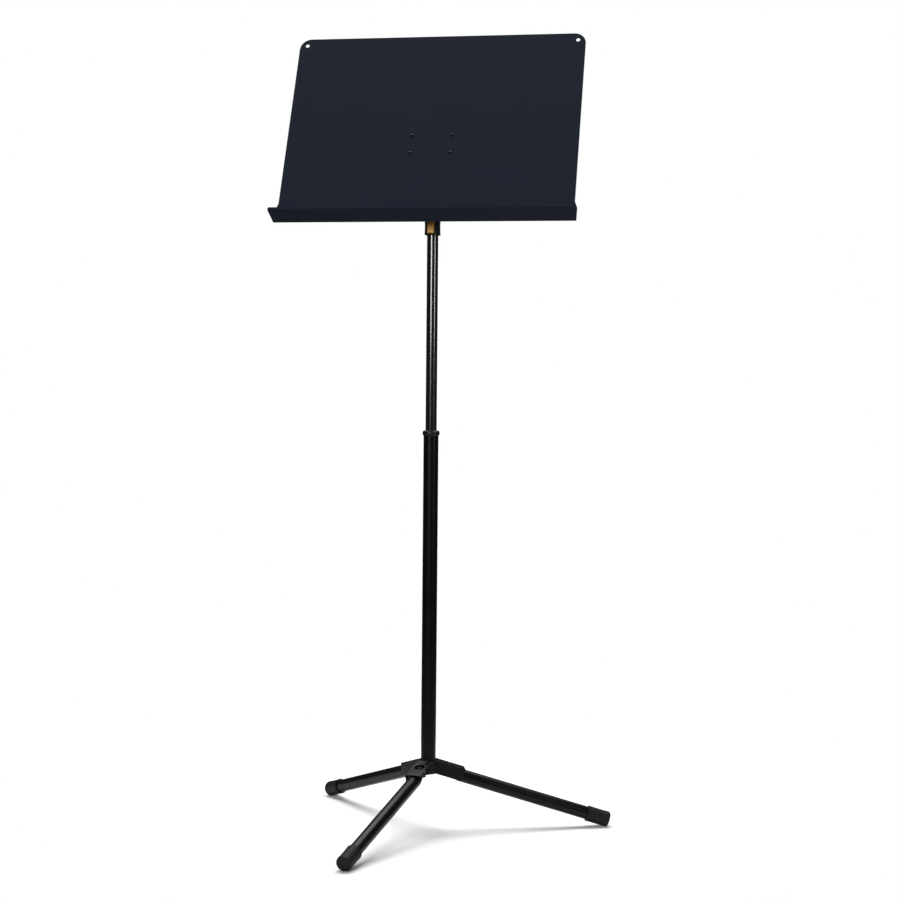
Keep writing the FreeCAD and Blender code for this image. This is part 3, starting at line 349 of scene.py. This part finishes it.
spider = softened("hub_spider", "hub_spider_pressed", voxel_mm=0.7, passes=6)
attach(spider, "base")
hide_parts("hub_spider")
dress(spider, satin_black_powder)
dress(nodes["hub_plate"], satin_black_powder)


def black_oxide():
    """Black oxide steel: dark and slightly glossy, uneven where oil is left on it."""
    oil_mm = 3
    material, place = new_material("black_oxide_steel")
    oil = add_node(material, "ShaderNodeTexNoise",
                   {"Vector": place, "Scale": 1 / (oil_mm * MM), "Detail": 4})
    stain = add_node(material, "ShaderNodeValToRGB", {"Fac": oil.outputs["Fac"]},
                     stops=[(FAINT, "#26272A"), (STRONG, "#34363A")])
    gloss = add_node(material, "ShaderNodeMapRange",
                     {"Value": oil.outputs["Fac"], "To Min": 0.26, "To Max": 0.44})
    return surfaced(material, {
        "Base Color": stain.outputs["Color"], "Metallic": 1,
        "Roughness": gloss.outputs["Result"]})


def joined(parts, name):
    """Put turned pieces together as one object."""
    bm = bmesh.new()
    for part in parts:
        bm.from_mesh(part.data)
        bpy.data.objects.remove(part)
    return own_mesh(name, bm)


def islands(node):
    """The centre of each separate solid of a CAD piece."""
    bm = sealed(node)
    left = set(bm.verts)
    spots = []
    while left:
        group = [left.pop()]
        for vertex in group:
            for edge in vertex.link_edges:
                other = edge.other_vert(vertex)
                if other in left:
                    left.remove(other)
                    group.append(other)
        low = Vector(min(v.co[axis] for v in group) for axis in range(3))
        high = Vector(max(v.co[axis] for v in group) for axis in range(3))
        spots.append((low + high) / 2)
    bm.free()
    return spots


def eased(node, width_mm):
    """Round the sharp edges of a small CAD piece with modifiers alone."""
    weld = nodes[node].modifiers.new("weld", "WELD")
    weld.merge_threshold = 0.01 * MM
    bevel = nodes[node].modifiers.new("eased", "BEVEL")
    bevel.width = width_mm * MM
    bevel.segments = 2
    bevel.angle_limit = math.radians(40)
    return nodes[node]


oxide = black_oxide()
up = Vector((0, 0, 1))
bolt_low, bolt_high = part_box("leg_pivot_bolts")
head_z = bolt_high.z - 4 * MM
shank_r = 4 * MM
head_r = 6.5 * MM
rim_tall = 1.3 * MM
crown_r = 4.6 * MM
key_r = 2.5 * MM
key_floor = 1.6 * MM
key_point = 1.2 * MM
bolt_section = soften_corners([
    (bolt_low.z, 0, 0),
    (bolt_low.z, shank_r, 0.6 * MM),
    (head_z, shank_r, 0),
    (head_z, head_r, 0),
    (head_z + rim_tall, head_r, 0.7 * MM),
    (bolt_high.z, crown_r, 1.4 * MM),
    (bolt_high.z, key_r, 0),
    (head_z + key_floor, key_r, 0),
    (head_z + key_point, 0, 0),
])
bolts = joined([turned(f"bolt_{number}", bolt_section, (spot.x, spot.y, 0), up, hexagon=key_r)
                for number, spot in enumerate(islands("leg_pivot_bolts"))],
               "leg_pivot_bolts_button_head")
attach(bolts, "base")
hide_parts("leg_pivot_bolts")
dress(bolts, oxide)
for part in ("tilt_bolt", "tilt_nut"):
    dress(eased(part, 0.45), oxide)
for part in ("hub_screw", "grip_screws"):
    dress(nodes[part], oxide)


def wire_ring(bm, middle, arm, radius, sides):
    """A ring of vertices round a wire that runs level, square to its arm."""
    turns = (2 * math.pi * side / sides for side in range(sides))
    return [bm.verts.new(middle + (arm * math.cos(turn) + up * math.sin(turn)) * radius)
            for turn in turns]


# The weld is a low ring of overlapping ripples where the post enters the boss.
post_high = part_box("lower_tube")[1]
weld_out = post_high.x - 0.2 * MM
weld_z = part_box("hub_spider")[1].z - 0.1 * MM
weld_r = 1.5 * MM
weld_steps = 180
weld_ripples = 34
unevenness = 0.1
bm = bmesh.new()
rings = []
for step in range(weld_steps):
    turn = 2 * math.pi * step / weld_steps
    arm = Vector((math.cos(turn), math.sin(turn), 0))
    ripple = 1 + unevenness * math.sin(turn * weld_ripples)
    wander = 1 + unevenness * math.sin(turn * 3 + 1)
    rings.append(wire_ring(bm, arm * weld_out + up * weld_z, arm, weld_r * ripple * wander,
                           sides=12))
for ring, following in zip(rings, rings[1:] + rings[:1]):
    bridge(bm, following, ring)
bead = own_mesh("post_weld_bead", bm)
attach(bead, "base")
dress(bead, satin_black_powder)


def nylon(name, code, roughness):
    """Turned or moulded nylon: slightly waxy, with a soft grain that is drawn coarse."""
    grain_mm = 0.7
    material, place = new_material(name)
    grain = add_node(material, "ShaderNodeTexNoise",
                     {"Vector": place, "Scale": 1 / (grain_mm * MM), "Detail": 3})
    skin = add_node(material, "ShaderNodeBump",
                    {"Height": grain.outputs["Fac"], "Strength": 1, "Distance": 0.02 * MM})
    return surfaced(material, {
        "Base Color": linear(code), "Roughness": roughness, "IOR": 1.53,
        "Specular IOR Level": 0.3, "Normal": skin.outputs["Normal"]})


# Left in its natural colour, nylon is the off-white of old ivory.
washer_nylon = nylon("natural_nylon", "#D9D3C4", 0.42)
for part in ("leg_pivot_washers", "tilt_washers"):
    dress(nodes[part], washer_nylon)

# --- Collar -------------------------------------------------------------------
# A nylon bush caps the lower tube and guides the upper one.  Its lip is a full
# round bead, proud of the tube all the way round.

# Moulded black nylon is a shade lighter than the powder, with a waxy highlight.
black_nylon = nylon("moulded_black_nylon", "#0E0F11", 0.4)
low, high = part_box("tube_collar")
slide_gap = 0.1 * MM
push_gap = 0.02 * MM
post_wall = 1.5 * MM
skirt_long = 3.5 * MM
guide_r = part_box("upper_tube")[1].x + slide_gap
bush_r = post_high.x - post_wall - push_gap
skirt_r = post_high.x + push_gap
collar = turned("tube_collar_moulded", soften_corners([
    (low.z, guide_r, 0),
    (low.z, bush_r, 0),
    (post_high.z, bush_r, 0),
    (post_high.z, skirt_r, 0),
    (post_high.z - skirt_long, skirt_r, 0),
    (post_high.z - skirt_long, high.x, 2.2 * MM),
    (high.z, high.x, 3.4 * MM),
    (high.z, guide_r, 0.6 * MM),
]), (0, 0, 0), up)
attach(collar, "base")
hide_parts("tube_collar")
dress(collar, black_nylon)

# --- Upper tube ---------------------------------------------------------------
# Drawn tube in hard gloss black stove enamel, smooth enough to slide.  Long,
# shallow draw lines stretch its highlights along the tube.


def stove_enamel():
    """Baked enamel: a clear glossy skin over deep black, faintly lined by the drawing."""
    line_mm = 1.2
    line_stretch = 50
    material, place = new_material("gloss_black_stove_enamel_on_steel")
    stretched = add_node(material, "ShaderNodeMapping",
                         {"Vector": place, "Scale": (1, 1, 1 / line_stretch)})
    lines = add_node(material, "ShaderNodeTexNoise",
                     {"Vector": stretched.outputs["Vector"], "Scale": 1 / (line_mm * MM),
                      "Detail": 2})
    drawn = add_node(material, "ShaderNodeBump",
                     {"Height": lines.outputs["Fac"], "Strength": 1, "Distance": 0.001 * MM})
    return surfaced(material, {
        "Base Color": linear("#060708"), "Roughness": 0.2, "IOR": 1.55, "Coat Weight": 0.5,
        "Coat Roughness": 0.1, "Normal": drawn.outputs["Normal"]})


dress(nodes["upper_tube"], stove_enamel())

# --- Height clutch ------------------------------------------------------------
# Inside the post: a brass cone in a split nylon sleeve, a zinc-plated rod with
# its nut, washer and collar, and an oiled coil spring.


def plated(name, dark, light, roughness):
    """Bare or plated metal: a clean reflection, clouded a little by its turned grain."""
    grain_mm = 2
    material, place = new_material(name)
    grain = add_node(material, "ShaderNodeTexNoise",
                     {"Vector": place, "Scale": 1 / (grain_mm * MM), "Detail": 4})
    cloud = add_node(material, "ShaderNodeValToRGB", {"Fac": grain.outputs["Fac"]},
                     stops=[(0.35, dark), (0.65, light)])
    return surfaced(material, {
        "Base Color": cloud.outputs["Color"], "Metallic": 1, "Roughness": roughness})


# Brass is warm and yellow, and bright zinc a pale blue grey.
dress(nodes["clutch_cone"], plated("turned_brass", "#C9A25A", "#D8B46C", 0.28))
zinc_plate = plated("bright_zinc_plate", "#AEB2B8", "#C6CACF", 0.32)
for part in ("clutch_washer", "release_rod", "release_rod_nut", "release_rod_collar",
             "trigger_pin"):
    dress(nodes[part], zinc_plate)
dress(nodes["clutch_sleeve"], black_nylon)

# The spring's end turns are closed and its middle ones open.  Lifting the rod shortens
# it from below; here it keeps one length.  Its oiled wire is a darker, plain steel grey.
coil_low, coil_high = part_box("clutch_spring")
coil_tall = coil_high.z - coil_low.z
coil_turns = 7
turn_steps = 32
wire_r = 0.5 * MM
coil_r = coil_high.x - wire_r
closed_pitch = 1.05 * MM
open_rise = coil_tall - 2 * wire_r - 2 * closed_pitch
bm = bmesh.new()
rings = []
for step in range(coil_turns * turn_steps + 1):
    wound = step / turn_steps
    closed = min(wound, 1) + max(wound - coil_turns + 1, 0)
    opened = (wound - closed) / (coil_turns - 2)
    height = coil_low.z + wire_r + closed * closed_pitch + opened * open_rise
    arm = Vector((math.cos(2 * math.pi * wound), math.sin(2 * math.pi * wound), 0))
    rings.append(wire_ring(bm, arm * coil_r + up * height, arm, wire_r, sides=10))
for ring, following in zip(rings, rings[1:]):
    bridge(bm, following, ring)
bm.faces.new(rings[0])
bm.faces.new(reversed(rings[-1]))
bmesh.ops.recalc_face_normals(bm, faces=bm.faces)
coil = own_mesh("clutch_spring_coiled", bm)
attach(coil, "mast")
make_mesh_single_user(coil)
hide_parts("clutch_spring")
dress(coil, plated("oiled_spring_steel", "#77787B", "#8E9094", 0.3))

# --- Grip shells --------------------------------------------------------------
# Two half shells moulded in black nylon, screwed together round the tube.  They
# draw in a little near their lower end, where the fingers close.

waist_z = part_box("grip_shell_left")[0].z + 14 * MM
waist_spread = 16 * MM
waist_draw = 0.035
outside_r = 11.2 * MM
for side in ("left", "right"):
    shell = softened(f"grip_shell_{side}", f"grip_shell_{side}_moulded", voxel_mm=0.45,
                     passes=4)
    for vertex in shell.data.vertices:
        near = max(0, 1 - abs(vertex.co.z - waist_z) / waist_spread)
        if vertex.co.xy.length > outside_r:
            vertex.co.x *= 1 - waist_draw * near * near * (3 - 2 * near)
    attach(shell, "mast")
    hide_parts(f"grip_shell_{side}")
    dress(shell, black_nylon)

# --- Trigger ------------------------------------------------------------------
# The release lever is moulded in amber nylon, a little translucent and glossier
# than the grip that it sits in.


def amber_nylon():
    """Amber nylon: light soaks a little way in, and the flow of the melt shows."""
    flow_mm = 4
    material, place = new_material("moulded_amber_nylon")
    flow = add_node(material, "ShaderNodeTexNoise",
                    {"Vector": place, "Scale": 1 / (flow_mm * MM), "Detail": 2})
    amber = add_node(material, "ShaderNodeValToRGB", {"Fac": flow.outputs["Fac"]},
                     stops=[(FAINT, "#FFBC55"), (STRONG, "#FFC76A")])
    skin = add_node(material, "ShaderNodeBump",
                    {"Height": flow.outputs["Fac"], "Strength": 1, "Distance": 0.02 * MM})
    return surfaced(material, {
        "Base Color": amber.outputs["Color"], "Roughness": 0.3, "IOR": 1.53,
        "Subsurface Weight": 0.1, "Subsurface Scale": 1.5 * MM,
        "Normal": skin.outputs["Normal"]})


lever = softened("trigger", "trigger_moulded", voxel_mm=0.3, passes=4)
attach(lever, "trigger")
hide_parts("trigger")
dress(lever, amber_nylon())

# --- Tilt head ----------------------------------------------------------------
# A cast metal head closes the top of the upper tube and carries the desk's
# bracket between two nylon washers.  It is powder coated, not polished.

# Powder over a rough casting: a deeper peel and grit, duller and greyer than on tube.
black_casting = powder_coat("black_coated_casting", "#0D0E10", "#141618", roughness=0.5,
                            sheen=0.35, peel_mm=1.6, peel_depth_mm=0.05, grit_mm=0.6,
                            grit_depth_mm=0.02)
head = softened("tilt_head", "tilt_head_cast", voxel_mm=0.5, passes=5)
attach(head, "mast")
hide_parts("tilt_head")
dress(head, black_casting)

# --- Desk and its bracket -----------------------------------------------------
# One steel sheet, cut, drilled and folded into a plate with a ledge and a small
# lip.  The bracket behind it is bent from sheet, and both are sprayed together.

# Matte blue-black powder: hardly any highlight, and a fine tooth that scatters light.
desk_powder = powder_coat("matte_blue_black_powder_coat", "#141B29", "#161D2B",
                          roughness=0.75, sheen=0.13, peel_mm=3.5, peel_depth_mm=0.02,
                          grit_mm=0.9, grit_depth_mm=0.03)
dress(nodes["desk_panel"], desk_powder)
dress(nodes["tilt_bracket"], desk_powder)

# --- Desk rivets --------------------------------------------------------------
# Four steel rivets hold the bracket.  Each has a low dome in front and the same
# behind, closed by a press, then blackened, so it is shinier than the powder.

tilt = math.radians(25.6)
out_of_desk = Vector((0, -math.cos(tilt), math.sin(tilt)))
rivet_r = 2.4 * MM
rivet_head_r = 3.35 * MM
half_grip = 1.5 * MM
rim = half_grip + 0.25 * MM
dome = half_grip + 1.25 * MM
dome_r = 1.6 * MM
rivet_section = soften_corners([
    (-dome, 0, 0),
    (-dome, dome_r, 1.2 * MM),
    (-rim, rivet_head_r, 0.25 * MM),
    (-half_grip, rivet_head_r, 0),
    (-half_grip, rivet_r, 0),
    (half_grip, rivet_r, 0),
    (half_grip, rivet_head_r, 0),
    (rim, rivet_head_r, 0.25 * MM),
    (dome, dome_r, 1.2 * MM),
    (dome, 0, 0),
])
rivets = joined([turned(f"rivet_{number}", rivet_section, spot, out_of_desk, around=32)
                 for number, spot in enumerate(islands("desk_rivets"))], "desk_rivets_domed")
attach(rivets, "desk")
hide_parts("desk_rivets")
dress(rivets, plated("blackened_rivet_steel", "#15171B", "#1C1F24", 0.3))

# --- Studio: camera, floor and light ------------------------------------------
# A 75 mm lens stands 3.2 m off, a little above the middle of the stand.  The floor
# is a disc of matt white paper, small so that it throws little light up under the
# desk.  Two soft boxes stand in front of the stand, and a wide one hangs above it.

studio = bpy.context.scene
lens = bpy.data.cameras.new("camera")
lens.lens = 75.0
lens.sensor_width = 36
lens.clip_end = 100
camera = bpy.data.objects.new("camera", lens)
studio.collection.objects.link(camera)
studio.camera = camera
distance = 3.1866
eye_z = 0.7763
round_by = math.radians(10.82)
pan = math.radians(0.584) - round_by
pitch = math.radians(2.27)
roll = math.radians(0.51)
eye = Vector((distance * math.sin(round_by), -distance * math.cos(round_by), eye_z))
ahead = Vector((math.sin(pan) * math.cos(pitch), math.cos(pan) * math.cos(pitch),
                -math.sin(pitch)))
across = Vector((math.cos(pan), -math.sin(pan), 0))
upward = across.cross(ahead)
right = across * math.cos(roll) + upward * math.sin(roll)
top = upward * math.cos(roll) - across * math.sin(roll)
turned_to_view = Matrix((right, top, -ahead)).transposed().to_4x4()
camera.matrix_world = Matrix.Translation(eye) @ turned_to_view

white_paper = surfaced(new_material("white_paper_sweep")[0],
                       {"Base Color": linear("#F6F6F6"), "Roughness": 0.95})
bm = bmesh.new()
bmesh.ops.create_circle(bm, cap_ends=True, segments=96, radius=0.66)
floor = own_mesh("floor", bm)
floor.location = (0.05, 0.12, cad_low.z)
floor.data.materials.append(white_paper)


def soft_box(name, at, aim, width, height, watts):
    """A rectangular soft light that faces a point."""
    light = bpy.data.lights.new(name, "AREA")
    light.shape = "RECTANGLE"
    light.size = width
    light.size_y = height
    light.energy = watts
    thing = bpy.data.objects.new(name, light)
    studio.collection.objects.link(thing)
    thing.location = at
    thing.rotation_euler = (Vector(aim) - Vector(at)).to_track_quat("-Z", "Y").to_euler()


soft_box("key", at=(-0.55, -2.95, 1.4), aim=(0, 0, 0.9), width=0.95, height=1.0, watts=46)
soft_box("fill", at=(2.7, -1.4, 1.4), aim=(0, 0, 0.8), width=0.4, height=1.0, watts=22)
soft_box("top_back", at=(-0.2, 1.1, 3.3), aim=(0.05, -0.1, 0), width=3.0, height=2.4,
         watts=165)

# The room is white to the camera, and lights the stand only dimly.
room = bpy.data.worlds.new("white_studio")
studio.world = room
room.use_nodes = True
room.node_tree.nodes.clear()
ray = add_node(room, "ShaderNodeLightPath")
dim = add_node(room, "ShaderNodeBackground", {"Color": (1, 1, 1, 1), "Strength": 0.07})
bright = add_node(room, "ShaderNodeBackground", {"Color": (1, 1, 1, 1), "Strength": 1.0})
walls = add_node(room, "ShaderNodeMixShader",
                 {"Fac": ray.outputs["Is Camera Ray"], 1: dim.outputs["Background"],
                  2: bright.outputs["Background"]})
add_node(room, "ShaderNodeOutputWorld", {"Surface": walls.outputs["Shader"]})
studio.view_settings.view_transform = "Standard"
